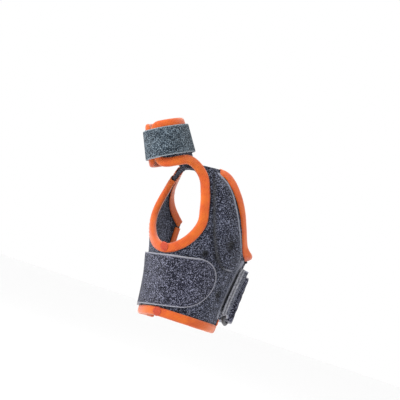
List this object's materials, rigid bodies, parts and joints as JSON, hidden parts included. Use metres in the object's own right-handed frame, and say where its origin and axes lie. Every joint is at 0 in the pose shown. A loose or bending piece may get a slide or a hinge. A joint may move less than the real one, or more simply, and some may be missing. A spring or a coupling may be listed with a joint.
{
  "type": "thumb spica splint",
  "caption": "Short fabric wrist and thumb splint with bound edges, a thumb collar, a stay pocket and a wrist strap that turns back through a ring.",
  "frame": {"origin": "middle of the wrist opening, level with the splint's lower edge, where the wrist holds it", "axes": "+Z along the forearm and hand from the wrist to the fingers, +X out of the back of the hand, -Y out of the thumb side"},
  "size_m": [0.0955, 0.0912, 0.1252],
  "materials": {
    "velour": "loop velour over foam, grey-blue with light and dark flecks",
    "strap": "loop velour over foam, lighter grey",
    "thumb_strap": "loop velour, teal grey",
    "tape": "ribbed elastic binding tape, orange",
    "thread": "round tack of close stitches, red orange",
    "ring": "moulded, fine satin"
  },
  "bodies": {
    "root": {"splint_body": "velour", "thumb_collar": "velour", "stay_pocket": "velour", "ring_tab": "velour", "wrist_strap": "strap", "thumb_strap": "thumb_strap", "strap_ring": "ring", "hole_binding": "tape", "wrist_binding": "tape", "knuckle_binding": "tape", "palm_binding": "tape", "back_end_binding": "tape", "palm_end_binding": "tape", "collar_top_binding": "tape", "collar_front_binding": "tape", "collar_behind_binding": "tape", "neck_binding": "tape", "hole_tack": "thread", "wrist_tack": "thread"}
  },
  "joints": []
}
